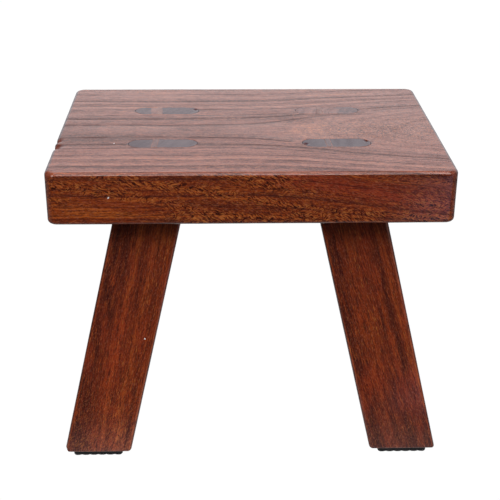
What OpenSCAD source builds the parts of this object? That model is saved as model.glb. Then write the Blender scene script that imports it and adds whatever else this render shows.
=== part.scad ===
// Small rectangular wooden stool: a thick plank seat on four splayed legs.
// Each leg's tenon passes right through the seat and is spread by a wedge driven from above.
// A ribbed rubber pad is nailed under each foot.
// Frame: +Z up, origin on the floor under the middle of the seat, X along the seat's grain.

/* [Seat] */
// Length of the seat along its grain, X
seat_length = 300; // [270:5:330]
// Depth of the seat from front to back, Y
seat_depth = 214; // [190:2:230]
// Thickness of the seat plank
seat_thickness = 40.5; // [32:0.5:46]
// Radius of the seat's four corners, seen from above
seat_corner = 8; // [4:1:16]
// Width of the bevel round the seat's top and bottom edges
seat_bevel = 3; // [1:0.5:3.5]

/* [Legs] */
// Height from the floor to the top of the seat
stool_height = 240; // [220:5:300]
// Width of a leg along X, square to its own length
leg_width = 51.5; // [44:0.5:56]
// Thickness of a leg from front to back, square to its own length
leg_thickness = 32; // [28:1:38]
// Bevel along the four long edges of a leg
leg_bevel = 2; // [1:0.5:3]
// Bevel round the foot end of a leg
foot_bevel = 2.5; // [1:0.5:3]
// Lean of the legs towards the ends of the seat, in degrees
side_splay = 13.2; // [8:0.2:15]
// Lean of the legs to the front and back, in degrees
front_splay = 13; // [6:0.5:15]
// Distance between the tenons along X, at the top of the seat
tenon_spacing_x = 134; // [120:1:150]
// Distance between the tenons along Y, at the top of the seat
tenon_spacing_y = 83; // [80:1:90]

/* [Tenons and wedges] */
// Thickness of a tenon from front to back
tenon_thickness = 18.5; // [14:0.5:22]
// Gap for glue all round a tenon
glue_gap = 0.1; // [0.05:0.05:0.2]
// Thickness of a wedge at the top of the seat
wedge_thickness = 4; // [2:0.5:5]
// Thickness of a wedge at its tip
wedge_tip = 1.2; // [0.5:0.1:1.5]
// Length of a wedge, down into the tenon
wedge_length = 30; // [20:1:34]
// Distance of a wedge from the middle of its tenon, along X
wedge_shift = -6; // [-8:1:8]

/* [Rubber pads] */
// Length of a pad along X
pad_length = 39; // [32:1:42]
// Depth of a pad along Y
pad_depth = 27; // [18:1:27]
// Full thickness of a pad, with its ribs
pad_thickness = 4; // [3.2:0.1:5]
// Distance from one rib to the next
rib_pitch = 6.5; // [5:0.5:7]
// Radius of a pad's corners, seen from below
pad_corner = 2.5; // [1:0.5:4]

/* [Pad nails] */
// Diameter of a nail's shank
nail_diameter = 1.8; // [1.4:0.1:2]
// Diameter of a nail's head
nail_head_diameter = 4.4; // [3.6:0.1:4.8]
// Thickness of a nail's head
nail_head_thickness = 0.8; // [0.6:0.1:1]
// Full length of a nail
nail_length = 16; // [12:1:20]

/* [Hidden] */

$fn = 64;

// Which way a leg stands from the middle of the stool: [X side, Y side]
FRONT_LEFT = [-1, -1];
FRONT_RIGHT = [1, -1];
REAR_LEFT = [-1, 1];
REAR_RIGHT = [1, 1];
CORNERS = [FRONT_LEFT, FRONT_RIGHT, REAR_LEFT, REAR_RIGHT];

WOOD = [0.36, 0.14, 0.08];
END_GRAIN = [0.27, 0.13, 0.10];
WEDGE_WOOD = [0.45, 0.24, 0.14];
RUBBER = [0.06, 0.06, 0.06];
STEEL = [0.62, 0.62, 0.64];

seat_underside = stool_height - seat_thickness;
// The leg turns about its own Y axis by this much, so that its lean seen from the front is side_splay
side_turn = atan(tan(side_splay) * cos(front_splay));
// The slant of a leg's section that keeps its side faces parallel to Y and its front face parallel to X
section_slant = tan(front_splay) * sin(side_turn);
// Where a leg's own axis crosses the top of the seat and the underside of its foot
tenon_x = tenon_spacing_x / 2;
tenon_y = tenon_spacing_y / 2;
foot_drop = stool_height - pad_thickness;
foot_x = tenon_x + foot_drop * tan(side_splay);
foot_y = tenon_y + foot_drop * tan(front_splay);
// Width and thickness of a leg where a level plane cuts it
foot_width = leg_width / cos(side_turn);
foot_thickness = leg_thickness / cos(front_splay);
// Longer than any leg, for cuts that pass right through
reach = 2 * stool_height;

// How far solids that are joined into one run into each other
overlap = 1;

// A rib's profile is an arc with a flat land at its lowest part
rib_radius = 1.3 * rib_pitch;
rib_land = rib_pitch / 3;
rib_centre = sqrt(rib_radius * rib_radius - rib_land * rib_land / 4);
rib_count = floor(pad_length / rib_pitch);
// The height above the floor of the valleys, where one rib's arc meets the next
valley_height = rib_centre - sqrt(rib_radius * rib_radius - rib_pitch * rib_pitch / 4);

// The nails stand near the two ends of a pad, with their heads sunk into the ribs
nail_spacing = pad_length / 2;
nail_head_base = 1;
nail_gap = 0.05;
// How far a nail's hole in the leg goes on past its point
nail_hole_spare = 0.5;

// ---------- Shapes that repeat ----------

// A rectangle with all four corners bevelled. Each point moves along X by slant times its height above the middle.
module bevelled_rectangle(length, width, bevel, slant = 0) {
    x = length / 2;
    y = width / 2;
    corners = [
        [-x + bevel, -y], [x - bevel, -y], [x, -y + bevel], [x, y - bevel],
        [x - bevel, y], [-x + bevel, y], [-x, y - bevel], [-x, -y + bevel],
    ];
    polygon([for (point = corners) [point[0] + slant * point[1], point[1]]]);
}

// A rectangle whose two short ends are half circles
module stadium(length, width) {
    square([length - width, width], center = true);
    for (side = [-1, 1]) translate([side * (length - width) / 2, 0]) circle(d = width);
}

// A flat rectangle with round corners
module rounded_rectangle(length, width, radius) {
    square([length - 2 * radius, width], center = true);
    square([length, width - 2 * radius], center = true);
    for (x = [-1, 1], y = [-1, 1])
        translate([x * (length / 2 - radius), y * (width / 2 - radius)]) circle(r = radius);
}

// Children stand in a leg's own frame: its axis is Z, and its origin is where the axis crosses the seat's top
module in_leg_frame(corner) {
    translate([corner[0] * tenon_x, corner[1] * tenon_y, stool_height])
        rotate([corner[1] * front_splay, 0, 0]) rotate([0, -corner[0] * side_turn, 0]) children();
}

// The space between two levels
module level_slab(low, high) {
    translate([-reach / 2, -reach / 2, low]) cube([reach, reach, high - low]);
}

// ---------- Seat ----------

// One of the seat's corner posts: a cylinder with a cone at each end
module seat_corner_post() {
    cylinder(h = seat_bevel, r1 = seat_corner - seat_bevel, r2 = seat_corner);
    translate([0, 0, seat_bevel]) cylinder(h = seat_thickness - 2 * seat_bevel, r = seat_corner);
    translate([0, 0, seat_thickness - seat_bevel])
        cylinder(h = seat_bevel, r1 = seat_corner, r2 = seat_corner - seat_bevel);
}

module seat_block() {
    straight_x = seat_length - 2 * seat_corner;
    straight_y = seat_depth - 2 * seat_corner;
    middle = seat_underside + seat_thickness / 2;
    translate([-straight_x / 2, 0, middle]) rotate([90, 0, 90])
        linear_extrude(straight_x) bevelled_rectangle(seat_depth, seat_thickness, seat_bevel);
    translate([0, straight_y / 2, middle]) rotate([90, 0, 0])
        linear_extrude(straight_y) bevelled_rectangle(seat_length, seat_thickness, seat_bevel);
    for (corner = CORNERS)
        translate([corner[0] * straight_x / 2, corner[1] * straight_y / 2, seat_underside])
            seat_corner_post();
}

module seat_plank() {
    color(WOOD) difference() {
        seat_block();
        for (corner = CORNERS) in_leg_frame(corner) mortise();
    }
}

module mortise() {
    translate([0, 0, -reach / 2]) linear_extrude(reach)
        stadium(leg_width + 2 * glue_gap, tenon_thickness + 2 * glue_gap);
}

// ---------- Legs ----------

// Cuts a bevel along the edge where a face of the leg meets its underside. X points out of that face.
module foot_bevel_cut() {
    rotate([90, 0, 0]) translate([0, 0, -reach / 2]) linear_extrude(reach)
        polygon([[-2 * foot_bevel, -foot_bevel], [2 * foot_bevel, -foot_bevel], [2 * foot_bevel, 3 * foot_bevel]]);
}

// The four bevels round a foot
module foot_bevels(corner) {
    translate([corner[0] * foot_x, corner[1] * foot_y, pad_thickness]) for (turn = [0, 180]) {
        rotate(turn) translate([foot_width / 2, 0, 0]) foot_bevel_cut();
        rotate(turn + 90) translate([foot_thickness / 2, 0, 0]) foot_bevel_cut();
    }
}

module leg_stock(corner) {
    intersection() {
        in_leg_frame(corner) translate([0, 0, -reach]) linear_extrude(reach)
            bevelled_rectangle(leg_width, leg_thickness, leg_bevel, -corner[0] * corner[1] * section_slant);
        level_slab(pad_thickness, seat_underside);
    }
}

module tenon(corner) {
    intersection() {
        in_leg_frame(corner) translate([0, 0, -reach / 2]) linear_extrude(reach)
            stadium(leg_width, tenon_thickness);
        level_slab(seat_underside - overlap, stool_height);
    }
}

// The tapered slot or wedge in a tenon, with an allowance on each side
module wedge_shape(corner, allowance) {
    top = wedge_thickness / 2 + allowance;
    tip = wedge_tip / 2 + allowance;
    rise = top - tip;
    intersection() {
        in_leg_frame(corner) translate([wedge_shift, tenon_thickness, 0]) rotate([90, 0, 0])
            linear_extrude(2 * tenon_thickness) polygon([
                [-tip, -wedge_length - allowance], [tip, -wedge_length - allowance],
                [top + rise, wedge_length], [-top - rise, wedge_length],
            ]);
        level_slab(0, stool_height + allowance);
    }
}

module leg(corner) {
    color(WOOD) difference() {
        union() {
            leg_stock(corner);
            tenon(corner);
        }
        wedge_shape(corner, glue_gap / 2);
        foot_bevels(corner);
        for (place = nail_places(corner)) translate([place[0], place[1], 0])
            cylinder(h = nail_head_base + nail_length + nail_hole_spare, d = nail_diameter);
    }
}

module wedge(corner) {
    color(WEDGE_WOOD) intersection() {
        wedge_shape(corner, 0);
        tenon(corner);
    }
}

// ---------- Rubber pads and their nails ----------

// Ribs in profile, with the flat lands on the floor at height 0
module pad_profile() {
    intersection() {
        translate([-pad_length / 2, 0]) square([pad_length, pad_thickness]);
        union() {
            translate([-pad_length / 2, valley_height])
                square([pad_length, pad_thickness - valley_height]);
            for (rib = [0 : rib_count - 1])
                translate([(rib - (rib_count - 1) / 2) * rib_pitch, rib_centre]) circle(r = rib_radius);
        }
    }
}

function nail_places(corner) = [
    for (side = [-1, 1]) [corner[0] * foot_x + side * nail_spacing / 2, corner[1] * foot_y]
];

module pad(corner) {
    color(RUBBER) difference() {
        translate([corner[0] * foot_x, corner[1] * foot_y, 0]) intersection() {
            translate([0, pad_depth / 2, 0]) rotate([90, 0, 0]) linear_extrude(pad_depth) pad_profile();
            linear_extrude(pad_thickness) rounded_rectangle(pad_length, pad_depth, pad_corner);
        }
        for (place = nail_places(corner)) translate([place[0], place[1], -overlap]) {
            cylinder(h = pad_thickness + 2 * overlap, d = nail_diameter);
            cylinder(h = overlap + nail_head_base + nail_head_thickness, d = nail_head_diameter);
        }
    }
}

// A flat-headed nail, point up
module nail() {
    point_length = 2 * nail_diameter;
    shank = nail_diameter - 2 * nail_gap;
    translate([0, 0, nail_head_base]) {
        cylinder(h = nail_head_thickness, d = nail_head_diameter - 2 * nail_gap);
        cylinder(h = nail_length - point_length, d = shank);
        translate([0, 0, nail_length - point_length]) cylinder(h = point_length, d1 = shank, d2 = shank / 8);
    }
}

module pad_nails() {
    color(STEEL) for (corner = CORNERS, place = nail_places(corner))
        translate([place[0], place[1], 0]) nail();
}

// ---------- Nodes ----------

seat_plank();
leg(FRONT_LEFT);  // leg_front_left
leg(FRONT_RIGHT);  // leg_front_right
leg(REAR_LEFT);  // leg_rear_left
leg(REAR_RIGHT);  // leg_rear_right
wedge(FRONT_LEFT);  // wedge_front_left
wedge(FRONT_RIGHT);  // wedge_front_right
wedge(REAR_LEFT);  // wedge_rear_left
wedge(REAR_RIGHT);  // wedge_rear_right
pad(FRONT_LEFT);  // pad_front_left
pad(FRONT_RIGHT);  // pad_front_right
pad(REAR_LEFT);  // pad_rear_left
pad(REAR_RIGHT);  // pad_rear_right
pad_nails();
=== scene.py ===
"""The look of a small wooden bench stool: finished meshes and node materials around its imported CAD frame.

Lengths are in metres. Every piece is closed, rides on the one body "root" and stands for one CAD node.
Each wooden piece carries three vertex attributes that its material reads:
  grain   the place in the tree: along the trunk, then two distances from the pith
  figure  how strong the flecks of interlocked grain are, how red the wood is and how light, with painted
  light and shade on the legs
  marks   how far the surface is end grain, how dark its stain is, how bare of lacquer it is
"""

import math

import bpy
import numpy as np
from mathutils import Matrix, Vector, noise
from mathutils.geometry import delaunay_2d_cdt


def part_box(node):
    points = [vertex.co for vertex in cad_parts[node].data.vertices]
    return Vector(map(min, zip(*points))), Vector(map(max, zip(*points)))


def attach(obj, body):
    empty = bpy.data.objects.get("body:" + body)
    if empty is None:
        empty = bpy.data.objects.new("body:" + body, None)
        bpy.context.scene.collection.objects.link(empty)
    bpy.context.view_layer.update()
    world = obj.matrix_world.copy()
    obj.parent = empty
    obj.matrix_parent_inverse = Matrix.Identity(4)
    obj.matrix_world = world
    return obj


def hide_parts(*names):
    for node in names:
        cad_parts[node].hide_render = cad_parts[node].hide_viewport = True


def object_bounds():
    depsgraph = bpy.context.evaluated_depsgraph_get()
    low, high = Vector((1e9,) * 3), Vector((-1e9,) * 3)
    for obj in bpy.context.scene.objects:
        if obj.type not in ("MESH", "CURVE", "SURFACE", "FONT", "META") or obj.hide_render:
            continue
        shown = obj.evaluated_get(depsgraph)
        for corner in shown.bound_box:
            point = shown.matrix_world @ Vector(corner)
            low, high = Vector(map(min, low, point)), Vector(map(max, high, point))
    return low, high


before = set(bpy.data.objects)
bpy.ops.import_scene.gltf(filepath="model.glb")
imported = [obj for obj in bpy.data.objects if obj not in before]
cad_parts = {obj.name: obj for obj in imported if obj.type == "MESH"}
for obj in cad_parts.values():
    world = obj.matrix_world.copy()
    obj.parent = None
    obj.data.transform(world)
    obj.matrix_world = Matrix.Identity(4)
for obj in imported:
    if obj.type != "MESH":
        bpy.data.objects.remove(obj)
cad_low, cad_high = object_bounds()

MM = 0.001
BODY = "root"
CORNERS = ("front_left", "front_right", "rear_left", "rear_right")
SEAT_LOW, SEAT_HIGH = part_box("seat_plank")
TOP = SEAT_HIGH.z
UNDERSIDE = SEAT_LOW.z


def mm(*lengths):
    """Lengths given in millimetres."""
    return tuple(length * MM for length in lengths)


SHARP_ANGLE = math.radians(38)
LEVEL_TOLERANCE = 0.02 * MM

# Round edges, the spacing of mesh points, and the number of steps along a shape or round a bend
SEAT_CORNER = 8 * MM
SEAT_EDGE = 3 * MM
SEAT_EDGE_STEPS = 7
SEAT_SPACING = 1.7 * MM
UNDERSIDE_SPACING = 3 * MM
MORTISE_STEPS = 12
LEG_EDGE = 2.8 * MM
LEG_SPACING = 1.8 * MM
FOOT_EDGE = 2.5 * MM
FOOT_EDGE_STEPS = 5
TENON_SPACING = 1 * MM
TENON_STEPS = 14
WEDGE_EDGE = 0.25 * MM
WEDGE_SPACING = 0.6 * MM
WEDGE_STEPS = 20
GLUE_GAP = 0.1 * MM
EASED_RIM = 0.15 * MM
# The tenon is slimmer at the shoulder, so that its round ends stand clear of the leg's sides
SHOULDER_GROW = -0.4 * MM

PAD_RIBS = 6
# A rib's radius, and half the flat land that it stands on, in rib pitches
RIB_RADIUS = 1.3
RIB_LAND = 1 / 6
PAD_CORNER = 2.5 * MM
PAD_EDGE = 0.5 * MM
PAD_EDGE_STEPS = 4
PAD_SPACING = 0.7 * MM
PAD_SIDE_SHARES = (0.33, 0.66, 0.92)
NAIL_RECESS = 2.2 * MM
NAIL_SHANK = 0.85 * MM
NAIL_CLEARANCE = 0.05 * MM
NAIL_HEAD_THICKNESS = 0.8 * MM
NAIL_GROOVES = 5
GROOVE_PITCH = 0.5 * MM
GROOVE_DEPTH = 0.08 * MM
NAIL_STEPS = 28
HOLE_STEPS = 32

# The waves that hand finishing leaves in a surface: how deep they are and how long
SEAT_WAVES = (mm(0.12, 22), mm(0.06, 5))
LEG_WAVES = (0.16 * MM, mm(16, 16, 40))


# ---------- Reading the frame ----------

def three_each(items, key):
    """One vector for each item of a mesh."""
    values = np.zeros(3 * len(items), np.float32)
    items.foreach_get(key, values)
    return values.reshape(-1, 3).astype(float)


def mesh_points(mesh):
    return three_each(mesh.vertices, "co")


def mesh_normals(mesh):
    return three_each(mesh.vertex_normals, "vector")


def cad_points(node):
    return mesh_points(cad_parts[node].data)


def level_box(node, level):
    """Lowest and highest corners of a CAD node's own outline at one level."""
    points = cad_points(node)
    there = points[abs(points[:, 2] - level) < LEVEL_TOLERANCE]
    return there.min(0), there.max(0)


class LegFrame:
    """One leg's sloping axis and the size of its sections, read from its CAD node."""

    def __init__(self, corner):
        node = "leg_" + corner
        self.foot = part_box(node)[0].z
        top_low, top_high = level_box(node, TOP)
        foot_low, foot_high = level_box(node, self.foot)
        stock_low, stock_high = level_box(node, UNDERSIDE)
        self.top_centre = (top_low + top_high) / 2
        foot_centre = (foot_low + foot_high) / 2
        self.axis = Vector(self.top_centre - foot_centre).normalized()
        self.turn_y = math.asin(self.axis.x)
        self.turn_x = math.atan2(-self.axis.y, self.axis.z)
        self.turn = np.array(Matrix.Rotation(self.turn_x, 3, "X") @ Matrix.Rotation(self.turn_y, 3, "Y"))
        self.level_width, self.level_depth = (stock_high - stock_low)[:2]
        self.tenon_length = self.level_width * math.cos(self.turn_y)
        self.tenon_thickness = (top_high - top_low)[1] * math.cos(self.turn_x)

    def centre(self, level):
        slope = np.array(self.axis[:2]) / self.axis.z
        return self.top_centre[:2] + slope * (level - TOP)

    def to_local(self, points):
        """Points in the leg's own frame, with Z up its axis from the top of the seat."""
        return (points - self.top_centre) @ self.turn

    def to_world(self, points):
        return points @ self.turn.T + self.top_centre

    def raised_to_top(self, across, depth):
        """The height in that frame at which a line along the axis meets the top of the seat."""
        return -(self.turn[2, 0] * across + self.turn[2, 1] * depth) / self.turn[2, 2]


LEGS = {corner: LegFrame(corner) for corner in CORNERS}


# ---------- Outlines ----------

def rounded_outline(width, depth, radius, spacing):
    """A round-cornered rectangle: points one radius inside it, and the way out from each."""
    half_x, half_y = width / 2 - radius, depth / 2 - radius
    across, up = round(2 * half_x / spacing), round(2 * half_y / spacing)
    turns = max(4, round(radius * math.pi / 2 / spacing))
    core, out = [], []
    corners = ((half_x, -half_y, -90), (half_x, half_y, 0), (-half_x, half_y, 90), (-half_x, -half_y, 180))
    for index, (x, y, start) in enumerate(corners):
        for step in range(turns + 1):
            angle = math.radians(start + 90 * step / turns)
            core.append((x, y))
            out.append((math.cos(angle), math.sin(angle)))
        next_x, next_y, _ = corners[(index + 1) % 4]
        steps = (up, across)[index % 2]
        for step in range(1, steps):
            share = step / steps
            core.append((x + (next_x - x) * share, y + (next_y - y) * share))
            out.append(out[-1])
    return np.array(core), np.array(out)


def stadium(length, width, grow, spacing):
    """A rectangle with half-round ends, anticlockwise, grown by an allowance on every side."""
    straight = length - width
    radius = width / 2 + grow
    steps = max(1, round(straight / spacing))
    turns = max(8, round(math.pi * width / 2 / spacing))
    points = []
    for side in (1, -1):
        for step in range(turns + 1):
            angle = math.pi * (step / turns - 0.5)
            x = side * (straight / 2 + math.cos(angle) * radius)
            points.append((x, side * math.sin(angle) * radius))
        for step in range(1, steps):
            points.append((side * straight * (0.5 - step / steps), side * radius))
    return np.array(points)


def round_edge(radius, steps):
    """How far in and how far up each step of a round edge lies, from the flat face to the side."""
    angles = [math.pi / 2 * step / steps for step in range(steps + 1)]
    return [(radius * (1 - math.sin(angle)), radius * (1 - math.cos(angle))) for angle in angles]


def circle(centre, radius, steps):
    angles = np.linspace(0, 2 * math.pi, steps, endpoint=False)
    return np.c_[centre[0] + radius * np.cos(angles), centre[1] + radius * np.sin(angles)]


def at_level(points, level):
    return np.c_[points, np.full(len(points), level)]


def tenon_outline(leg, level, grow, spacing):
    """A level cut of a leg's tenon, grown by an allowance on every side."""
    shape = stadium(leg.tenon_length, leg.tenon_thickness, grow, spacing)
    lean = math.tan(leg.turn_x) * math.tan(leg.turn_y)
    x = shape[:, 0] / math.cos(leg.turn_y) - shape[:, 1] * lean
    y = shape[:, 1] / math.cos(leg.turn_x)
    return at_level(np.c_[x, y] + leg.centre(level), level)


def inside(points, loop):
    """Which flat points lie inside a loop: those with an odd number of its edges to their right."""
    x, y = points[:, :1], points[:, 1:2]
    start, end = loop, np.roll(loop, -1, axis=0)
    spans = (start[:, 1] > y) != (end[:, 1] > y)
    rise = np.where(end[:, 1] == start[:, 1], 1, end[:, 1] - start[:, 1])
    crossing = start[:, 0] + (end[:, 0] - start[:, 0]) * (y - start[:, 1]) / rise
    return (spans & (x < crossing)).sum(1) % 2 == 1


def grid_between(outer, holes, spacing):
    """Staggered grid points inside one loop, outside the others, and clear of them all."""
    low, high = outer.min(0), outer.max(0)
    rows = np.arange(low[1], high[1], spacing * math.sqrt(3) / 2)
    columns = np.arange(low[0], high[0], spacing)
    points = np.array([(x + (row % 2) * spacing / 2, y) for row, y in enumerate(rows) for x in columns])
    points = points[inside(points, outer)]
    for hole in holes:
        points = points[~inside(points, hole)]
    edge = np.vstack([outer] + holes)
    nearest = np.full(len(points), np.inf)
    for chunk in np.array_split(edge, 1 + len(edge) // 64):
        gaps = np.linalg.norm(points[:, None] - chunk[None], axis=2)
        nearest = np.minimum(nearest, gaps.min(1))
    return points[nearest > 0.6 * spacing]


# ---------- Building meshes ----------

class Shell:
    """Gathers the points and faces of one closed surface."""

    def __init__(self):
        self.points = []
        self.faces = []

    def ring(self, points):
        start = len(self.points)
        self.points.extend(tuple(point) for point in points)
        return list(range(start, len(self.points)))

    def skirts(self, rings):
        """Joins each ring to the next. Faces look out if the rings are anticlockwise and rise."""
        for first, second in zip(rings, rings[1:]):
            for i in range(len(first)):
                j = (i + 1) % len(first)
                self.faces.append((first[i], first[j], second[j], second[i]))

    def fill(self, outer, holes, spacing, height, looks_up):
        """Closes a ring round any holes with triangles. height(points) lifts the points that it adds."""
        loops = [np.array([self.points[i][:2] for i in ring]) for ring in [outer] + holes]
        grid = grid_between(loops[0], loops[1:], spacing)
        added = self.ring(np.c_[grid, height(grid)])
        indices = sum([outer] + holes, []) + added
        edges, start = [], 0
        for loop in loops:
            count = len(loop)
            edges += [(start + i, start + (i + 1) % count) for i in range(count)]
            start += count
        flat = [Vector(point) for point in np.vstack(loops + [grid])]
        _, _, triangles, origins, _, _ = delaunay_2d_cdt(flat, edges, [], 1, 1e-9)
        hole_of = {index: number for number, ring in enumerate(holes) for index in ring}
        for triangle in triangles:
            face = tuple(indices[origins[i][0]] for i in triangle)
            owners = {hole_of.get(index) for index in face}
            if len(owners) == 1 and None not in owners:
                continue
            self.faces.append(face if looks_up else face[::-1])

    def cap_ends(self, rings):
        """Closes a stack of rings with one face at each end."""
        self.faces.append(tuple(rings[0][::-1]))
        self.faces.append(tuple(rings[-1]))

    def mesh(self):
        mesh = bpy.data.meshes.new("shell")
        mesh.from_pydata(self.points, [], self.faces)
        mesh.validate()
        mesh.update()
        return mesh


def flat_at(level):
    return lambda points: np.full(len(points), level)


def plane_through(loop):
    """The height of the plane that lies closest to a loop of points."""
    slope, *_ = np.linalg.lstsq(np.c_[loop[:, :2], np.ones(len(loop))], loop[:, 2], rcond=None)
    return lambda points: np.c_[points, np.ones(len(points))] @ slope


def set_points(mesh, points):
    mesh.vertices.foreach_set("co", points.astype(np.float32).ravel())
    mesh.update()


def noise_at(points, lump, seed):
    """Smooth noise from -1 to 1. lump is its size: one length, or one for each axis."""
    shift = 7.31 * seed
    scaled = points / lump + shift
    return np.array([noise.noise(point) for point in scaled.tolist()])


def press_in(mesh, amounts):
    """Moves each point into the solid by its own amount."""
    set_points(mesh, mesh_points(mesh) - mesh_normals(mesh) * amounts[:, None])


def make_uneven(mesh, depth, lump, seed):
    """Gives a surface the gentle unevenness of hand finishing. Nothing moves outwards."""
    press_in(mesh, depth * (noise_at(mesh_points(mesh), lump, seed) + 1) / 2)


def bell(gaps, width):
    """A soft falloff from 1 where the gap is nothing."""
    return np.exp(-(gaps / width) ** 2)


def hollow(points, centre, radius):
    return bell(np.linalg.norm(points - centre, axis=1), radius)


def set_attributes(mesh, **attributes):
    for name, values in attributes.items():
        attribute = mesh.attributes.new(name, "FLOAT_VECTOR", "POINT")
        attribute.data.foreach_set("vector", values.astype(np.float32).ravel())


def smooth_step(values, low, high):
    share = np.clip((values - low) / (high - low), 0, 1)
    return share * share * (3 - 2 * share)


def new_object(name, data):
    thing = bpy.data.objects.new(name, data)
    bpy.context.scene.collection.objects.link(thing)
    return thing


def cut(mesh, cutter_mesh):
    """A new mesh: the first with the second taken away."""
    body = new_object("cut_body", mesh)
    cutter = new_object("cut_tool", cutter_mesh)
    modifier = body.modifiers.new("cut", "BOOLEAN")
    modifier.operation = "DIFFERENCE"
    modifier.solver = "EXACT"
    modifier.object = cutter
    graph = bpy.context.evaluated_depsgraph_get()
    result = bpy.data.meshes.new_from_object(body.evaluated_get(graph))
    for piece in (body, cutter):
        bpy.data.objects.remove(piece)
    return result


def finish_piece(name, mesh, node, material):
    """Makes a mesh a piece of the stool that stands for one CAD node."""
    mesh.name = name
    mesh.shade_smooth()
    mesh.set_sharp_from_angle(angle=SHARP_ANGLE)
    mesh.materials.clear()
    mesh.materials.append(material)
    piece = new_object(name, mesh)
    flat_faces = piece.modifiers.new("flat_faces", "WEIGHTED_NORMAL")
    flat_faces.keep_sharp = True
    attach(piece, BODY)
    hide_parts(node)


# ---------- Grain ----------

# The seat's growth rings curve round a pith above the plank, which comes nearer towards the right
PITH_HEIGHT = 120 * MM
PITH_Y = -12 * MM
PITH_FALL = 0.13
PITH_FALL_START = 25 * MM
PITH_FALL_BLEND = 14 * MM
SEAT_SWAY = 1.8 * MM
SEAT_SWAY_SIZE = mm(55, 30, 30)

# Each leg's pith in the leg's own frame: where it is at one level, and its drift along the leg
LEG_PITHS = {
    "front_left": (*mm(-64, 26), 0.02),
    "front_right": (*mm(-60, 22), 0.07),
    "rear_left": (*mm(58, -30), 0.03),
    "rear_right": (*mm(66, -20), -0.04),
}
LEG_PITH_LEVEL = -100 * MM
LEG_SWAY = 1.4 * MM
LEG_SWAY_SIZE = mm(28, 28, 60)

# On the seat's sides, flecked and quiet bands run down towards the right, and so does one redder band
BAND_SLOPE = 0.1
BAND_SIZE = mm(75, 30, 7.5)
RED_BAND_ALONG = 0.666
RED_BAND_DOWN = 0.2
RED_BAND_SLOPE = 1.43
RED_BAND_HALF_WIDTH = 0.2

# On the seat's top, flecks gather where the lines fan out, and soft patches are lighter or darker
FAN_HALF_WIDTH = 34 * MM
TOP_CLOUD_SIZE = mm(80, 9, 20)
# Each patch: X, Y, half its length, half its width and how much lighter it is
TOP_PATCHES = (
    (mm(-118, -28, 34, 7), -1.3),
    (mm(-90, -4, 38, 4.5), 0.4),
    (mm(-85, 88, 50, 9), 0.4),
    (mm(70, -8, 30, 14), 0.2),
    (mm(5, 4, 40, 9), 0.3),
    (mm(90, 88, 50, 10), 0.25),
)

# On the legs: sizes of light and red patches, and how flecked and how light each foot is
LEG_PATCH_SIZE = mm(14, 14, 45)
LEG_RED_SIZE = mm(9, 9, 60)
FOOT_LOOKS = {"front_right": (0.05, -0.4)}
USUAL_FOOT_LOOK = (0.25, 0.0)
# The front left leg's redder patch: its place across and above the floor, and half its sizes
RED_PATCH = mm(-2, 85, 6, 45)
# Soft streaks down the front legs: place across and width, drift, and how much lighter
LEG_STREAKS = {
    "front_left": ((mm(-21, 11), 0.0, -0.5), (mm(0, 5), 0.02, 0.15), (mm(15, 5), 0.0, 0.2)),
    "front_right": (
        (mm(-24, 7), 0.0, -0.45),
        (mm(-8, 7), 0.0, 0.2),
        (mm(1, 1.7), -0.03, -0.5),
        (mm(10, 2), -0.02, -0.5),
        (mm(18, 4), 0.0, 0.15),
    ),
}


def seat_grain(points):
    """The seat's grain attribute: lines that run along X and fan out towards the right."""
    x, y, z = points.T
    past = (x - PITH_FALL_START) / PITH_FALL_BLEND
    pith = PITH_HEIGHT - PITH_FALL * PITH_FALL_BLEND * np.logaddexp(0, past)
    sway = SEAT_SWAY * noise_at(points, SEAT_SWAY_SIZE, 3)
    return np.c_[x, y - PITH_Y + sway, TOP + pith - z]


def leg_grain(points, leg, pith, shift):
    """A leg's grain attribute: lines along its axis, round a pith off to one side."""
    x, y, z = leg.to_local(points).T
    pith_x, pith_y, drift = pith
    sway = LEG_SWAY * noise_at(points, LEG_SWAY_SIZE, shift)
    return np.c_[z + shift, x - pith_x + drift * (z - LEG_PITH_LEVEL) + sway, y - pith_y]


def seat_figure(points, normals):
    """The seat's figure attribute. Its sides and its top each have a pattern."""
    x, y, z = points.T
    along = (x - SEAT_LOW.x) / (SEAT_HIGH.x - SEAT_LOW.x)
    down = (TOP - z) / (TOP - UNDERSIDE)
    upright = 1 - smooth_step(abs(normals[:, 2]), 0.3, 0.9)
    slanted = np.c_[x, y, z + BAND_SLOPE * x]
    band = smooth_step(noise_at(slanted, BAND_SIZE, 12), -0.22, 0.2)
    quiet_left = smooth_step(down, 0.35, 0.7) * (1 - smooth_step(along, 0.18, 0.34))
    quiet_right = smooth_step(along, 0.6, 0.8) * (1 - smooth_step(down - (along - 0.55) * 1.1, 0.0, 0.25))
    side_flecks = np.clip(0.35 + 0.65 * band - 0.7 * quiet_left - 0.5 * quiet_right, 0.1, 1)
    fan = smooth_step(x, 10 * MM, 60 * MM) * bell(y - PITH_Y, FAN_HALF_WIDTH)
    top_flecks = 0.2 + 0.6 * fan
    flecks = upright * side_flecks + (1 - upright) * top_flecks
    off_red = down - RED_BAND_DOWN - RED_BAND_SLOPE * (along - RED_BAND_ALONG)
    red = upright * smooth_step(along, 0.42, 0.62) * bell(off_red, RED_BAND_HALF_WIDTH)
    light = 0.5 + upright * (0.35 * quiet_left - 0.15 * quiet_right + 0.3 * (band - 0.5))
    light += (1 - upright) * 0.2 * noise_at(points, TOP_CLOUD_SIZE, 13)
    for (place_x, place_y, half_length, half_width), change in TOP_PATCHES:
        near = bell(x - place_x, half_length) * bell(y - place_y, half_width)
        light += (1 - upright) * change * near
    return np.c_[flecks, red, light]


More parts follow.
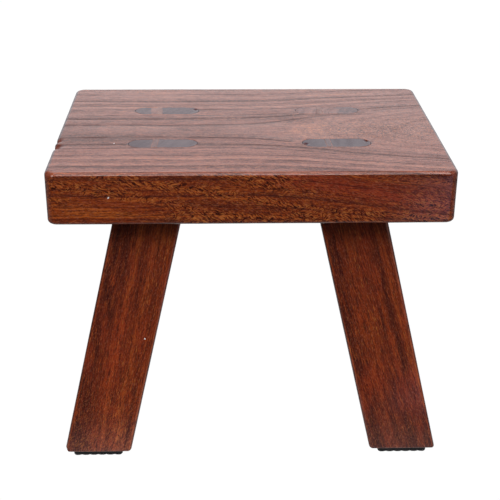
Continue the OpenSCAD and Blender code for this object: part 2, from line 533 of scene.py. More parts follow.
def leg_figure_and_painted_light(points, normals, leg, corner):
    """A leg's figure attribute: flecks gather at the foot, a painted highlight lightens the long edges,
    painted shade darkens the sides, and painted light lightens the top under the seat.
    """
    x, _, z = leg.to_local(points).T
    nx, ny, _ = (normals @ leg.turn).T
    height = points[:, 2]
    foot = 1 - smooth_step(height, leg.foot + 10 * MM, leg.foot + 60 * MM)
    foot_flecks, foot_light = FOOT_LOOKS.get(corner, USUAL_FOOT_LOOK)
    # Painted light: the top of the leg is lightened where the seat's shadow falls.
    painted_shoulder_light = smooth_step(height, UNDERSIDE - 50 * MM, UNDERSIDE - 5 * MM)
    patches = noise_at(points, LEG_PATCH_SIZE, 14)
    # How many degrees the surface looks away from the front or the rear
    facing = np.degrees(np.arctan2(abs(nx), abs(ny)))
    # A painted highlight lightens the long edges where they begin to round; painted shade darkens the rest
    # of each round and the sides.
    edge = smooth_step(facing, 5, 14) * (1 - smooth_step(facing, 24, 38))
    side = smooth_step(facing, 34, 48)
    light = 0.44 + 0.22 * patches + 0.8 * edge - 0.25 * side + foot_light * foot + 0.4 * painted_shoulder_light
    red = 0.6 * smooth_step(noise_at(points, LEG_RED_SIZE, 15), -0.1, 0.5)
    if corner == "front_left":
        place_x, place_z, half_width, half_length = RED_PATCH
        near = bell(x - place_x, half_width) * bell(height - place_z, half_length)
        red = np.maximum(red, 1.2 * near)
    for (place, width), drift, change in LEG_STREAKS.get(corner, ()):
        light += change * bell(x - place - drift * z, width)
    return np.c_[0.1 + 0.1 * patches + foot_flecks * foot, red, np.clip(light, 0, 1.3)]


def end_share(mesh, axis):
    """How far each point's surface looks along the grain, from 0 to 1."""
    return smooth_step(abs(mesh_normals(mesh) @ np.array(axis)), 0.62, 0.9)


def seat_end_share(mesh):
    """The same for the seat, where the whole bevel round each end counts as end grain."""
    nx, ny, _ = abs(mesh_normals(mesh)).T
    return smooth_step(nx / (0.15 + nx + ny), 0.45, 0.7)


# ---------- Seat ----------

# Chips in the lacquered edge: where, how wide and how deep
SEAT_CHIPS = (
    ((SEAT_LOW.x + 1.2 * MM, -34 * MM, TOP - 1 * MM), 3.0 * MM, 1.7 * MM),
    ((SEAT_LOW.x + 1.2 * MM, -48 * MM, TOP - 1 * MM), 3.8 * MM, 2.2 * MM),
    ((SEAT_LOW.x + 2.6 * MM, SEAT_LOW.y + 2.6 * MM, TOP - 1 * MM), 2.4 * MM, 1.1 * MM),
)
SEAT_END_STAIN = 0.7


def seat_mesh():
    size = SEAT_HIGH - SEAT_LOW
    middle = np.array((SEAT_LOW + SEAT_HIGH)[:2]) / 2
    core, out = rounded_outline(size.x, size.y, SEAT_CORNER, SEAT_SPACING)
    shell = Shell()

    def outline(inset, level):
        return shell.ring(at_level(middle + core + out * (SEAT_CORNER - inset), level))

    edge = round_edge(SEAT_EDGE, SEAT_EDGE_STEPS)
    side_low, side_high = UNDERSIDE + SEAT_EDGE, TOP - SEAT_EDGE
    steps = round((side_high - side_low) / SEAT_SPACING)
    rings = [outline(inset, UNDERSIDE + rise) for inset, rise in edge]
    rings += [outline(0, level) for level in np.linspace(side_low, side_high, steps + 1)[1:-1]]
    rings += [outline(inset, TOP - rise) for inset, rise in reversed(edge)]
    shell.skirts(rings)

    top_holes, low_holes = [], []
    for leg in LEGS.values():
        wall = [shell.ring(tenon_outline(leg, TOP, GLUE_GAP + EASED_RIM, SEAT_SPACING))]
        for level in np.linspace(TOP - EASED_RIM, UNDERSIDE, MORTISE_STEPS + 1):
            wall.append(shell.ring(tenon_outline(leg, level, GLUE_GAP, SEAT_SPACING)))
        shell.skirts(wall)
        top_holes.append(wall[0])
        low_holes.append(wall[-1])
    shell.fill(rings[-1], top_holes, SEAT_SPACING, flat_at(TOP), True)
    shell.fill(rings[0], low_holes, UNDERSIDE_SPACING, flat_at(UNDERSIDE), False)
    return shell.mesh()


def make_seat(material):
    mesh = seat_mesh()
    for seed, (depth, length) in enumerate(SEAT_WAVES, 1):
        make_uneven(mesh, depth, length, seed)
    points = mesh_points(mesh)
    bare = np.zeros(len(points))
    depth = np.zeros(len(points))
    for centre, radius, deep in SEAT_CHIPS:
        near = hollow(points, centre, radius)
        depth += deep * near
        bare = np.maximum(bare, near)
    press_in(mesh, depth)
    end = seat_end_share(mesh)
    set_attributes(
        mesh,
        grain=seat_grain(points),
        figure=seat_figure(points, mesh_normals(mesh)),
        marks=np.c_[end, SEAT_END_STAIN * end, bare],
    )
    finish_piece("seat_board", mesh, "seat_plank", material)


# ---------- Legs and wedges ----------

# The worn corner of the front left foot: the way the cut faces, and its place from the corner
FOOT_CHIP_CUT = np.array(Vector((-0.85, -0.1, -0.52)).normalized())
FOOT_CHIP_ACROSS = -0.4 * MM
FOOT_CHIP_UP = 2.4 * MM

# Pits in the ends of the tenons: the place along and across, the radius and the depth
TENON_PITS = {
    "front_right": ((-0.475, -0.05, 1.3 * MM, 1.2 * MM), (0.47, 0.2, 1.6 * MM, 0.9 * MM)),
    "rear_left": ((0.47, 0.1, 1.2 * MM, 0.9 * MM),),
}
TENON_PATCH_SIZE = mm(6, 3, 6)
WEDGE_SEED_STEP = 5


def leg_mesh(corner):
    leg = LEGS[corner]
    shell = Shell()
    core, out = rounded_outline(leg.level_width, leg.level_depth, LEG_EDGE, LEG_SPACING)

    def section(level, inset):
        return shell.ring(at_level(leg.centre(level) + core + out * (LEG_EDGE - inset), level))

    edge = round_edge(FOOT_EDGE, FOOT_EDGE_STEPS)
    rings = [section(leg.foot + rise, inset) for inset, rise in edge[:-1]]
    low = leg.foot + FOOT_EDGE
    steps = round((UNDERSIDE - low) / LEG_SPACING)
    rings += [section(level, 0) for level in np.linspace(low, UNDERSIDE, steps + 1)]
    shell.skirts(rings)
    shell.fill(rings[0], [], LEG_SPACING, flat_at(leg.foot), False)

    tenon = []
    for share in np.linspace(0, 1, TENON_STEPS + 1):
        level = UNDERSIDE + (TOP - EASED_RIM - UNDERSIDE) * share
        tenon.append(shell.ring(tenon_outline(leg, level, SHOULDER_GROW * (1 - share), TENON_SPACING)))
    tenon.append(shell.ring(tenon_outline(leg, TOP, -EASED_RIM, TENON_SPACING)))
    shell.skirts(tenon)
    shell.fill(rings[-1], [tenon[0]], LEG_SPACING, flat_at(UNDERSIDE), True)
    shell.fill(tenon[-1], [], TENON_SPACING, flat_at(TOP), True)
    return shell.mesh()


class WedgeFrame:
    """A wedge's place and taper in its leg's own frame, read from its CAD node."""

    def __init__(self, corner):
        self.leg = LEGS[corner]
        local = self.leg.to_local(cad_points("wedge_" + corner))
        self.tip_height = local[:, 2].min()
        tip = local[local[:, 2] < self.tip_height + LEVEL_TOLERANCE]
        left, right = tip[:, 0].min(), tip[:, 0].max()
        self.middle = (left + right) / 2
        self.tip_half = (right - left) / 2
        highest = local[local[:, 2].argmax()]
        rise = highest[2] - self.tip_height
        self.taper = (abs(highest[0] - self.middle) - self.tip_half) / rise

    def half(self, height):
        """Half the wedge's thickness at a height."""
        return self.tip_half + self.taper * (height - self.tip_height)


def kerf_mesh(wedge):
    """The tool that cuts a wedge's slot, with a hair of glue on each side of the wedge."""
    gap = GLUE_GAP / 2
    depth = wedge.leg.tenon_thickness
    low, high = wedge.tip_height - gap, -wedge.tip_height
    shell = Shell()
    rings = []
    for height in (low, high):
        half = wedge.half(height) + gap
        corners = [(-half, -depth), (half, -depth), (half, depth), (-half, depth)]
        local = np.array([(wedge.middle + x, y, height) for x, y in corners])
        rings.append(shell.ring(wedge.leg.to_world(local)))
    shell.skirts(rings)
    shell.cap_ends(rings)
    return shell.mesh()


def wedge_mesh(corner):
    wedge = WedgeFrame(corner)
    leg = wedge.leg
    core, out = rounded_outline(2 * wedge.half(0), leg.tenon_thickness, WEDGE_EDGE, WEDGE_SPACING)
    outline = core + out * WEDGE_EDGE
    shell = Shell()
    rings = []
    for share in np.linspace(0, 1, WEDGE_STEPS + 1):
        height = wedge.tip_height * (1 - share)
        squeeze = wedge.half(height) / wedge.half(0)
        x, y = outline[:, 0] * squeeze, outline[:, 1]
        lift = leg.raised_to_top(wedge.middle + x, y) * share
        local = np.c_[wedge.middle + x, y, height + lift]
        rings.append(shell.ring(leg.to_world(local)))
    shell.skirts(rings)
    for ring, looks_up in ((rings[0], False), (rings[-1], True)):
        loop = np.array([shell.points[i] for i in ring])
        shell.fill(ring, [], WEDGE_SPACING, plane_through(loop), looks_up)
    return shell.mesh()


def tenon_stain(points, leg, corner):
    """How dark the end of a leg's tenon is, from 0 to about 1."""
    local = leg.to_local(points)
    along = local[:, 0] / leg.tenon_length + 0.5
    patch = noise_at(points, TENON_PATCH_SIZE, 9)
    if corner == "rear_left":
        gap = smooth_step(along, 0.23, 0.27) * (1 - smooth_step(along, 0.40, 0.44))
        return 0.85 * (1 - gap) + 0.1 * patch
    if corner == "rear_right":
        ends = 0.6 * smooth_step(along, 0.6, 0.75) + 0.3 * (1 - smooth_step(along, 0.08, 0.22))
        return np.clip(ends + 0.4 * patch, 0, 0.9)
    if corner == "front_left":
        gap = smooth_step(along, 0.3, 0.36) * (1 - smooth_step(along, 0.4, 0.46))
        return 0.9 - 0.3 * gap + 0.08 * patch
    return 0.97 + 0.05 * patch


def wear_foot(mesh, corner):
    leg = LEGS[corner]
    foot_low, _ = level_box("leg_" + corner, leg.foot)
    start = np.array((foot_low[0] + FOOT_CHIP_ACROSS, foot_low[1], leg.foot + FOOT_CHIP_UP))
    points = mesh_points(mesh)
    beyond = np.maximum(0, (points - start) @ FOOT_CHIP_CUT)
    set_points(mesh, points - beyond[:, None] * FOOT_CHIP_CUT)


def set_leg_wood(mesh, corner, shift, least_end, stain_share):
    """Sets the attributes of a leg or its wedge. least_end is how far an unstained end counts as one."""
    leg = LEGS[corner]
    points = mesh_points(mesh)
    stain = tenon_stain(points, leg, corner)
    end = end_share(mesh, leg.axis)
    shown = end * (least_end + (1 - least_end) * stain)
    set_attributes(
        mesh,
        grain=leg_grain(points, leg, LEG_PITHS[corner], shift),
        figure=leg_figure_and_painted_light(points, mesh_normals(mesh), leg, corner),
        marks=np.c_[shown, end * stain_share * stain, np.zeros(len(points))],
    )


def make_leg(corner, seed, material):
    leg = LEGS[corner]
    mesh = leg_mesh(corner)
    make_uneven(mesh, *LEG_WAVES, seed)
    if corner == "front_left":
        wear_foot(mesh, corner)
    points = mesh_points(mesh)
    for along, across, radius, deep in TENON_PITS.get(corner, ()):
        centre = leg.to_world(np.array((along * leg.tenon_length, across * leg.tenon_thickness, 0)))
        centre[2] = TOP
        press_in(mesh, deep * hollow(points, centre, radius))
    mesh = cut(mesh, kerf_mesh(WedgeFrame(corner)))
    set_leg_wood(mesh, corner, seed, least_end=0.4, stain_share=1.0)
    finish_piece(corner + "_leg", mesh, "leg_" + corner, material)


def make_wedge(corner, seed, material):
    mesh = wedge_mesh(corner)
    set_leg_wood(mesh, corner, seed + WEDGE_SEED_STEP, least_end=1.0, stain_share=0.8)
    finish_piece(corner + "_wedge", mesh, "wedge_" + corner, material)


# ---------- Rubber pads and nails ----------

def rib_height(offset, pitch):
    """The height of a pad's ribbed underside, at a distance from the pad's middle."""
    radius = RIB_RADIUS * pitch
    land = RIB_LAND * pitch
    from_rib = abs((offset / pitch) % 1 - 0.5) * pitch
    return math.sqrt(radius ** 2 - land ** 2) - np.sqrt(radius ** 2 - np.maximum(from_rib, land) ** 2)


def nail_places(corner):
    """Where a pad's two nails stand: halfway between its middle and its ends."""
    low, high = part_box("pad_" + corner)
    middle = (low + high) / 2
    return [(middle.x + side * (high.x - low.x) / 4, middle.y) for side in (-1, 1)]


def pad_mesh(corner):
    low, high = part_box("pad_" + corner)
    size, middle = high - low, (low + high) / 2
    pitch = size.x / PAD_RIBS
    head_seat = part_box("pad_nails")[0].z + NAIL_HEAD_THICKNESS
    core, out = rounded_outline(size.x, size.y, PAD_CORNER, PAD_SPACING)
    core = core + np.array(middle[:2])
    outer = core + out * PAD_CORNER
    shell = Shell()

    def underside(points):
        return low.z + rib_height(points[:, 0] - middle.x, pitch)

    rings = []
    for inset, rise in round_edge(PAD_EDGE, PAD_EDGE_STEPS):
        points = core + out * (PAD_CORNER - inset)
        rings.append(shell.ring(np.c_[points, underside(points) + rise]))
    base = underside(outer) + PAD_EDGE
    for share in PAD_SIDE_SHARES:
        rings.append(shell.ring(np.c_[outer, base + (high.z - base) * share]))
    rings.append(shell.ring(at_level(outer - out * EASED_RIM, high.z)))
    shell.skirts(rings)
    low_holes, high_holes = [], []
    for place in nail_places(corner):
        recess = circle(place, NAIL_RECESS, HOLE_STEPS)
        shank = circle(place, NAIL_SHANK, HOLE_STEPS)
        walls = [
            shell.ring(np.c_[recess, underside(recess)]),
            shell.ring(at_level(recess, head_seat)),
            shell.ring(at_level(shank, head_seat)),
            shell.ring(at_level(shank, high.z)),
        ]
        shell.skirts(walls[::-1])
        low_holes.append(walls[0])
        high_holes.append(walls[-1])
    shell.fill(rings[0], low_holes, PAD_SPACING, underside, False)
    shell.fill(rings[-1], high_holes, PAD_SPACING, flat_at(high.z), True)
    return shell.mesh()


def make_pad(corner, material):
    finish_piece(corner + "_rubber_pad", pad_mesh(corner), "pad_" + corner, material)


def nail_profile(low, high, head_radius):
    """Radii and heights of a nail: its domed head, the grooves above it, its shank and its point."""
    shank = NAIL_SHANK - NAIL_CLEARANCE
    head_top = low + NAIL_HEAD_THICKNESS
    dome = ((0.25, 0), (0.55, 0.03), (0.8, 0.1), (0.95, 0.22), (1, 0.4))
    profile = [(share * head_radius, low + rise * MM) for share, rise in dome]
    profile += [(0.97 * head_radius, head_top - 0.1 * MM), (0.9 * head_radius, head_top)]
    for groove in range(NAIL_GROOVES):
        z = head_top + 0.1 * MM + GROOVE_PITCH * groove
        profile += [(shank, z), (shank - GROOVE_DEPTH, z + GROOVE_PITCH / 2)]
    profile += [(shank, head_top + 3 * MM), (shank, high - 4 * shank), (shank / 8, high)]
    return profile


def make_nails(material):
    """All eight nails: heads down in the pads, points up in the legs."""
    low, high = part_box("pad_nails")
    profile = nail_profile(low.z, high.z, high.x - nail_places("front_right")[1][0])
    shell = Shell()
    for corner in CORNERS:
        for place in nail_places(corner):
            rings = [shell.ring(at_level(circle(place, radius, NAIL_STEPS), z)) for radius, z in profile]
            shell.skirts(rings)
            shell.cap_ends(rings)
    finish_piece("steel_nails", shell.mesh(), "pad_nails", material)


# ---------- Materials ----------

class Nodes:
    """Short ways to add and join the nodes of a material or a world."""

    def __init__(self, owner):
        owner.use_nodes = True
        self.owner = owner
        self.tree = owner.node_tree

    def plug(self, socket, value):
        if isinstance(value, bpy.types.NodeSocket):
            self.tree.links.new(value, socket)
        else:
            socket.default_value = value

    def add(self, kind, inputs, **settings):
        node = self.tree.nodes.new("ShaderNode" + kind)
        for name, value in settings.items():
            setattr(node, name, value)
        for key, value in inputs.items():
            self.plug(node.inputs[key], value)
        return node

    def math(self, operation, first, second=0.0, third=0.0):
        return self.add("Math", {0: first, 1: second, 2: third}, operation=operation).outputs[0]

    def minus(self, first, second):
        return self.math("SUBTRACT", first, second)

    def times(self, first, second, plus=0.0):
        return self.math("MULTIPLY_ADD", first, second, plus)

    def weighted(self, *terms):
        """The sum of values, each times its own weight."""
        total = 0.0
        for value, weight in terms:
            total = self.times(value, weight, plus=total)
        return total

    def remap(self, value, low, high, to_low=0.0, to_high=1.0):
        """A smooth step between two levels. The first may be the higher one."""
        if low > high:
            low, high, to_low, to_high = high, low, to_high, to_low
        inputs = {"Value": value, "From Min": low, "From Max": high, "To Min": to_low, "To Max": to_high}
        return self.add("MapRange", inputs, interpolation_type="SMOOTHSTEP").outputs["Result"]

    def vector(self, operation, *vectors):
        return self.add("VectorMath", dict(enumerate(vectors)), operation=operation)

    def scale(self, vector, size):
        """A vector with each part divided by its own size."""
        return self.vector("DIVIDE", vector, size).outputs[0]

    def noises(self, place, size, detail, roughness):
        inputs = {"Vector": self.scale(place, size), "Scale": 1.0, "Detail": detail, "Roughness": roughness}
        return self.add("TexNoise", inputs).outputs

    def noise(self, place, size, detail, roughness):
        """Smooth noise from 0 to 1, whose lumps have a size along each axis."""
        return self.noises(place, size, detail, roughness)["Fac"]

    def shaken(self, vector, place, size, reach, detail):
        """A vector moved about by the smooth noise at a place, up to half its reach each way."""
        color = self.noises(place, size, detail, 0.5)["Color"]
        shift = self.vector("SUBTRACT", color, even(0.5)).outputs[0]
        return self.vector("MULTIPLY_ADD", shift, reach, vector).outputs[0]

    def cells(self, place, size):
        """The distance to the nearest of a scatter of points."""
        return self.add("TexVoronoi", {"Vector": self.scale(place, size), "Scale": 1.0}).outputs["Distance"]

    def ring_radius(self, grain):
        """The distance from the pith of a place in the tree."""
        flat = self.vector("MULTIPLY", grain, (0, 1, 1)).outputs[0]
        return self.vector("LENGTH", flat).outputs["Value"]

    def split(self, vector):
        return self.add("SeparateXYZ", {0: vector}).outputs

    def mix(self, share, first, second):
        return self.add("Mix", {0: share, 6: first, 7: second}, data_type="RGBA").outputs[2]

    def attribute(self, name):
        return self.add("Attribute", {}, attribute_name=name).outputs["Vector"]

    def place(self):
        return self.add("TexCoord", {}).outputs["Object"]

    def bump(self, height, strength, distance):
        inputs = {"Height": height, "Strength": strength, "Distance": distance}
        return self.add("Bump", inputs).outputs["Normal"]

    def finish(self, **values):
        """Plugs values into the surface and gives back the material."""
        surface = self.tree.nodes["Principled BSDF"]
        for name, value in values.items():
            self.plug(surface.inputs[name.replace("_", " ")], value)
        return self.owner


def rgb(red, green, blue):
    return (red, green, blue, 1.0)


def even(size):
    """The same size along all three axes."""
    return (size,) * 3


WHITE = rgb(1, 1, 1)
INK = rgb(0.016, 0.004, 0.003)
LINE = rgb(0.045, 0.009, 0.006)
TAN = rgb(0.37, 0.118, 0.028)
LUSTRE = rgb(0.30, 0.11, 0.07)
END_GRAIN = rgb(0.05, 0.014, 0.009)
STAIN = rgb(0.036, 0.015, 0.022)
RAW_WOOD = rgb(0.14, 0.035, 0.02)
SPECK = rgb(0.62, 0.60, 0.58)

# Sizes in the wood: along the trunk, then in two directions across it
DRIFT_SIZE = mm(45, 14, 14)
DRIFT_REACH = mm(3, 3.2, 0.5)
TREMBLE_SIZE = mm(4, 3, 3)
TREMBLE_REACH = mm(1.5, 1.6, 0.3)
PRESENCE_SIZE = mm(26, 12, 12)
FIBRE_SIZE = mm(9, 0.85, 0.85)
STREAK_SIZE = mm(60, 2.6, 2.6)
PORE_SIZE = mm(4.2, 0.9, 0.9)
LUSTRE_SIZE = mm(2.0, 0.7, 0.7)
SWIRL_SIZE = mm(10, 6, 6)
WAY_SIZE = mm(34, 8, 8)
FLECK_SIZE = mm(4.6, 0.9, 1.4)
GLINT_WIDTH = 1.1 * MM
RING_BAND_WIDTH = 5.5 * MM
LINE_CORE = 0.05 * MM
LINE_WIDTH = 0.42 * MM
SHADE_WIDTH = 3 * MM
FLECK_LENGTH = 4.5 * MM
FLECK_SLOPE = 0.55
SWIRL_TURNS = 3.0
SWIRL_REACH = 3.5 * MM

RELIEF_DEPTH = 0.12 * MM
PEEL_SIZE = 1.4 * MM

# Each wood's four colours, the radii of its dark ring lines, and how strong its features are
SEAT_WOOD = {
    "dark": rgb(0.070, 0.011, 0.005),
    "middle": rgb(0.165, 0.025, 0.006),
    "pale": rgb(0.36, 0.082, 0.012),
    "ruddy": rgb(0.20, 0.024, 0.010),
    "rings": [PITH_HEIGHT + depth for depth in mm(1.1, 4.2, 6.8, 12.5, 17.4, 24, 31, 36.5, 43, 47, 54, 60)],
    "inner_ring": PITH_HEIGHT,
    "lines": 1.0,
    "bands": 1.15,
    "glints": 0.55,
    "glint_length": 6.5 * MM,
    "lustre": 0.3,
}
LEG_WOOD = {
    "dark": rgb(0.046, 0.006, 0.003),
    "middle": rgb(0.136, 0.019, 0.005),
    "pale": rgb(0.32, 0.064, 0.011),
    "ruddy": rgb(0.20, 0.025, 0.007),
    "rings": [(46 + 5.3 * step) * MM for step in range(9)],
    "inner_ring": 40 * MM,
    "lines": 0.25,
    "bands": 0.6,
    "glints": 0.65,
    "glint_length": 8 * MM,
    "lustre": 0.24,
}
WEDGE_WOOD = LEG_WOOD | {
    "dark": rgb(0.09, 0.018, 0.008),
    "middle": rgb(0.20, 0.045, 0.018),
    "pale": rgb(0.36, 0.11, 0.035),
    "ruddy": rgb(0.20, 0.045, 0.02),
    "lines": 0.3,
    "bands": 0.5,
    "glints": 0.3,
    "glint_length": 6 * MM,
    "lustre": 0.2,
}

# Pale specks: on the seat's front, on its top and on the front left leg
SPECKS = (
    ((-104 * MM, SEAT_LOW.y, TOP - 18.6 * MM), 0.8 * MM),
    ((-104.5 * MM, -41 * MM, TOP), 0.7 * MM),
    (mm(-82.8, -91.2, 96), 0.7 * MM),
)


def growth_lines(n, radius, rings):
    """Dark late-growth lines at given ring radii, each with a soft shade on its inner side."""
    line, shade = 0.0, 0.0
    for ring in rings:
        past = n.minus(radius, ring)
        thin = n.remap(n.math("ABSOLUTE", past), LINE_WIDTH, LINE_CORE)
        soft = n.times(n.remap(past, -SHADE_WIDTH, 0.0), n.math("LESS_THAN", past, 0.0))
        line = n.math("MAXIMUM", line, thin)
        shade = n.math("MAXIMUM", shade, soft)
    return line, shade


def interlocked_grain(n, grain, radius, inner_ring):
    """The noise behind the flecks of interlocked grain, which lean one way and then the other."""
    along, across, above = n.split(grain)
    swirl = n.noise(grain, SWIRL_SIZE, 2.0, 0.5)
    way = n.remap(n.noise(grain, WAY_SIZE, 1.0, 0.5), 0.40, 0.5, -1.0, 1.0)
    phase = n.times(swirl, SWIRL_TURNS, plus=n.math("DIVIDE", along, FLECK_LENGTH))
    saw = n.minus(n.math("FRACT", phase), 0.5)
    lean = n.times(n.times(saw, way), FLECK_LENGTH * FLECK_SLOPE)
    woven = n.times(n.minus(swirl, 0.5), SWIRL_REACH, plus=n.minus(radius, lean))
    beside = n.times(n.math("ARCTAN2", across, above), inner_ring)
    spot = n.add("CombineXYZ", {0: along, 1: woven, 2: beside}).outputs[0]
    return n.noise(spot, FLECK_SIZE, 2.0, 0.6)


def pale_specks(n, place):
    """Where the specks are, with ragged outlines."""
    ragged = n.shaken(place, place, even(MM), even(1.5 * MM), 1.0)
    specks = 0.0
    for centre, radius in SPECKS:
        gap = n.vector("DISTANCE", ragged, centre).outputs["Value"]
        specks = n.math("MAXIMUM", specks, n.remap(gap, radius * 1.2, radius * 0.6))
    return specks


def wood_material(name, wood):
    """Lacquered open-pored hardwood."""
    n = Nodes(bpy.data.materials.new(name))
    place = n.place()
    grain = n.attribute("grain")
    flecked, red, light = n.split(n.attribute("figure"))
    end, stain, bare = n.split(n.attribute("marks"))
    inner_ring = wood["inner_ring"]

    # Rings wander slowly and tremble finely
    drifted = n.shaken(grain, grain, DRIFT_SIZE, DRIFT_REACH, 2.0)
    trembled = n.shaken(drifted, grain, TREMBLE_SIZE, TREMBLE_REACH, 3.0)
    smooth_radius = n.ring_radius(drifted)
    radius = n.ring_radius(trembled)
    calm = n.remap(smooth_radius, inner_ring - 9 * MM, inner_ring, 0.55, 1.0)
    across_bands = n.math("DIVIDE", smooth_radius, RING_BAND_WIDTH)
    inputs = {"W": across_bands, "Scale": 1.0, "Detail": 3.0, "Roughness": 0.65}
    bands = n.add("TexNoise", inputs, noise_dimensions="1D").outputs["Fac"]
    bands = n.times(n.minus(bands, 0.5), n.times(calm, wood["bands"]), plus=0.5)
    line, shade = growth_lines(n, radius, wood["rings"])
    presence = n.remap(n.noise(grain, PRESENCE_SIZE, 3.0, 0.6), 0.34, 0.56, 0.15, 1.0)
    line = n.times(line, n.times(presence, wood["lines"]))
    far = n.remap(smooth_radius, inner_ring + 8 * MM, inner_ring + 25 * MM, 1.0, 0.4)
    shade = n.times(shade, n.times(presence, far))

    # Fibres and streaks run with the grain, and pores and glints are short dashes
    fibres = n.noise(trembled, FIBRE_SIZE, 3.0, 0.7)
    streaks = n.noise(drifted, STREAK_SIZE, 4.0, 0.65)
    pores = n.remap(n.cells(trembled, PORE_SIZE), 0.34, 0.1)
    glint_size = (wood["glint_length"], GLINT_WIDTH, GLINT_WIDTH)
    glints = n.remap(n.cells(drifted, glint_size), 0.32, 0.12)
    glints = n.times(glints, n.remap(streaks, 0.4, 0.6, 0.0, wood["glints"]))
    glints = n.times(glints, n.remap(light, 0.35, 0.65, 0.3, 1.0))
    lustre = n.remap(n.noise(trembled, LUSTRE_SIZE, 2.0, 0.6), 0.50, 0.68)
    flecks = interlocked_grain(n, grain, radius, inner_ring)
    dark_flecks = n.times(n.remap(flecks, 0.48, 0.40), flecked)
    light_flecks = n.times(n.remap(flecks, 0.52, 0.64), flecked)
    tone = n.times(n.minus(streaks, 0.5), 0.55, plus=bands)
    tone = n.math("ADD", tone, n.times(n.minus(light, 0.5), 0.5))

    # End grain drinks more stain, and bare chips show raw wood
    layers = (
        (n.remap(tone, 0.2, 0.6), wood["middle"]),
        (n.times(n.remap(tone, 0.5, 0.95), 0.75), wood["pale"]),
        (n.times(red, 0.7), wood["ruddy"]),
        (n.times(shade, 0.5), wood["dark"]),
        (n.remap(fibres, 0.46, 0.66, 0.0, 0.7), INK),
        (n.remap(fibres, 0.46, 0.28, 0.0, 0.5), wood["pale"]),
        (n.times(lustre, wood["lustre"]), LUSTRE),
        (n.times(light_flecks, 0.62), TAN),
        (n.times(dark_flecks, 0.92), INK),
        (n.times(pores, 0.55), INK),
        (glints, TAN),
        (n.times(line, 0.8), LINE),
        (n.times(end, 0.3), END_GRAIN),
        (stain, STAIN),
        (bare, RAW_WOOD),
        (pale_specks(n, place), SPECK),
    )
    color = wood["dark"]
    for share, layer in layers:
        color = n.mix(share, color, layer)

    # Open grain holds less lacquer than close grain, so it takes less of the light
    open_grain = n.weighted(
        (n.remap(tone, 0.65, 0.3), 0.24), (n.remap(fibres, 0.44, 0.7), 0.3),
        (pores, 0.28), (line, 0.42), (dark_flecks, 0.2),
    )
    unstained = n.times(stain, -0.7, plus=1.0)
    lost = n.weighted((open_grain, unstained), (stain, 0.25), (bare, 1.3))
    coat = n.math("MAXIMUM", n.minus(1.0, lost), 0.1)
    relief = n.weighted((pores, -0.7), (fibres, -0.5), (line, -1.0), (dark_flecks, -0.3))
    peel = n.noise(place, even(PEEL_SIZE), 2.0, 0.6)
    return n.finish(
        Base_Color=color,
        Roughness=n.times(bare, 0.3, plus=n.remap(tone, 0.3, 0.7, 0.55, 0.42)),
        Normal=n.bump(relief, 0.5, RELIEF_DEPTH),
        Specular_IOR_Level=0.03,
        Coat_Weight=coat,
        Coat_Roughness=0.15,
        Coat_Normal=n.bump(n.times(relief, 0.6, plus=peel), 0.15, RELIEF_DEPTH),
    )


def rubber_material():
    """Black rubber with a fine grain and a dusty bloom."""
    n = Nodes(bpy.data.materials.new("pad_rubber_look"))
    place = n.place()
    fine = n.noise(place, even(0.25 * MM), 3.0, 0.6)
    dust = n.noise(place, even(4 * MM), 3.0, 0.6)
    bloom = n.times(n.remap(dust, 0.45, 0.75), 0.5)
    return n.finish(
        Base_Color=n.mix(bloom, rgb(0.006, 0.006, 0.007), rgb(0.022, 0.021, 0.020)),
        Roughness=n.remap(dust, 0.3, 0.7, 0.42, 0.62),
        Normal=n.bump(fine, 0.4, 0.08 * MM),
        Specular_IOR_Level=0.15,
    )


def steel_material():
    """Nail wire with drawn marks, a dull zinc tone and a little rust."""
    n = Nodes(bpy.data.materials.new("nail_steel_look"))
    place = n.place()
    marks = n.noise(place, mm(0.12, 0.12, 2), 2.0, 0.5)
    spots = n.remap(n.noise(place, even(1.1 * MM), 4.0, 0.65), 0.56, 0.7)
    zinc = n.mix(marks, rgb(0.42, 0.42, 0.44), rgb(0.62, 0.62, 0.64))
    rust = n.times(spots, 0.7)
    return n.finish(
        Base_Color=n.mix(rust, zinc, rgb(0.22, 0.09, 0.035)),
        Metallic=n.minus(1.0, rust),
        Roughness=n.times(spots, 0.35, plus=0.36),
        Normal=n.bump(marks, 0.3, 0.05 * MM),
    )


# ---------- Studio ----------

# How bright the floor and the world are where the camera sees them
BACKDROP = 1.02
FLOOR_REACH = 6.0

# Softboxes: name, place, size and power
SOFTBOX_AIM = (0, 0, 0.15)
SOFTBOXES = (
    ("key_softbox", (0.35, -1.55, 1.75), (1.9, 1.0), 37),
    ("fill_softbox", (-1.3, -1.3, 1.2), (0.9, 0.9), 20),
    ("top_softbox", (0, -0.1, 1.6), (1.2, 1.0), 13),
)

# The camera looks slightly to the right and down, at a point near the middle of the stool
VIEW_TURN = math.radians(1.8)
VIEW_DROP = math.radians(24.72)
VIEW_ROLL = math.radians(-0.37)
VIEW_DISTANCE = 0.9262
VIEW_LENS = 78.65
AIM_OFFSET = Vector(mm(1.9, 0, 10))


def backdrop(n, light, tint):
    """A backdrop's colour and strength: plain white to the camera, its own light on the stool."""
    seen = n.add("LightPath", {}).outputs["Is Camera Ray"]
    strength = n.times(seen, BACKDROP, plus=n.times(n.minus(1.0, seen), light))
    return {"Color": n.mix(seen, tint, WHITE), "Strength": strength}


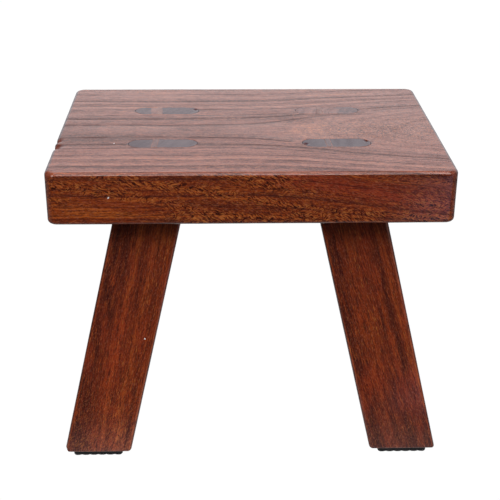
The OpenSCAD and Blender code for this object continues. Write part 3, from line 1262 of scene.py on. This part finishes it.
def make_floor():
    """A pale lit table. In front of the stool, out of the camera's sight, it reflects as dark."""
    mesh = bpy.data.meshes.new("floor")
    corners = ((-1, -1), (1, -1), (1, 1), (-1, 1))
    mesh.from_pydata([(x * FLOOR_REACH, y * FLOOR_REACH, 0) for x, y in corners], [], [(0, 1, 2, 3)])
    new_object("floor", mesh)
    n = Nodes(bpy.data.materials.new("floor_look"))
    x, y, _ = n.split(n.add("NewGeometry", {}).outputs["Position"])
    glow = n.remap(y, -0.43, -0.08, 0.01, 0.8)
    glow = n.times(glow, n.remap(n.math("ABSOLUTE", x), 0.19, 0.4, 1.0, 0.3))
    # A cool card lies to the right, and mirrors as the grey sheen at the front's right end
    card_edge = n.times(y, 0.336, plus=x)
    card = n.times(n.remap(card_edge, -0.012, 0.03), n.remap(y, -0.95, -0.8))
    card = n.times(card, n.remap(y, -0.35, -0.45))
    glow = n.math("MAXIMUM", glow, n.times(card, 0.85))
    tint = n.mix(card, WHITE, rgb(0.45, 0.62, 1.0))
    light = n.add("Emission", backdrop(n, glow, tint)).outputs[0]
    clear = n.add("BsdfTransparent", {}).outputs[0]
    below = n.add("NewGeometry", {}).outputs["Backfacing"]
    surface = n.add("MixShader", {0: below, 1: light, 2: clear}).outputs[0]
    n.plug(n.tree.nodes["Material Output"].inputs["Surface"], surface)
    mesh.materials.append(n.owner)


def make_world():
    """A white studio: bright behind and above the stool, darker towards the camera."""
    world = bpy.data.worlds.new("studio")
    bpy.context.scene.world = world
    n = Nodes(world)
    x, y, z = n.split(n.add("TexCoord", {}).outputs["Generated"])
    back = n.times(n.remap(y, 0.1, 0.7, 0.0, 1.17), n.remap(z, 0.42, 0.72, 1.0, 0.25))
    above = n.remap(z, 0.1, 0.9, 0.0, 0.2)
    right = n.remap(x, 0.25, 0.85, 0.03, 0.53)
    studio = n.math("ADD", n.math("ADD", back, above), right)
    for name, value in backdrop(n, studio, rgb(0.93, 0.955, 1.0)).items():
        n.plug(n.tree.nodes["Background"].inputs[name], value)


def make_softbox(name, place, size, power):
    data = bpy.data.lights.new(name, "AREA")
    data.shape = "RECTANGLE"
    data.size, data.size_y = size
    data.energy = power
    light = new_object(name, data)
    light.location = place
    light.rotation_euler = (Vector(SOFTBOX_AIM) - Vector(place)).to_track_quat("-Z", "Y").to_euler()


def make_camera():
    data = bpy.data.cameras.new("camera")
    data.lens = VIEW_LENS
    camera = new_object("camera", data)
    # Without its turns the camera looks straight down from above the point that it aims at
    aim = Matrix.Translation((cad_low + cad_high) / 2 + AIM_OFFSET)
    turn = Matrix.Rotation(-VIEW_TURN, 4, "Z")
    drop = Matrix.Rotation(math.pi / 2 - VIEW_DROP, 4, "X")
    roll = Matrix.Rotation(-VIEW_ROLL, 4, "Z")
    camera.matrix_world = aim @ turn @ drop @ roll @ Matrix.Translation((0, 0, VIEW_DISTANCE))
    bpy.context.scene.camera = camera


def make_studio():
    bpy.context.scene.view_settings.view_transform = "Standard"
    make_floor()
    make_world()
    for softbox in SOFTBOXES:
        make_softbox(*softbox)
    make_camera()


# ---------- The whole stool ----------

seat_wood = wood_material("seat_wood", SEAT_WOOD)
leg_wood = wood_material("leg_wood", LEG_WOOD)
wedge_wood = wood_material("wedge_end_wood", WEDGE_WOOD)
rubber = rubber_material()
steel = steel_material()

make_seat(seat_wood)
for number, corner_name in enumerate(CORNERS, 1):
    make_leg(corner_name, number, leg_wood)
    make_wedge(corner_name, number, wedge_wood)
    make_pad(corner_name, rubber)
make_nails(steel)
make_studio()
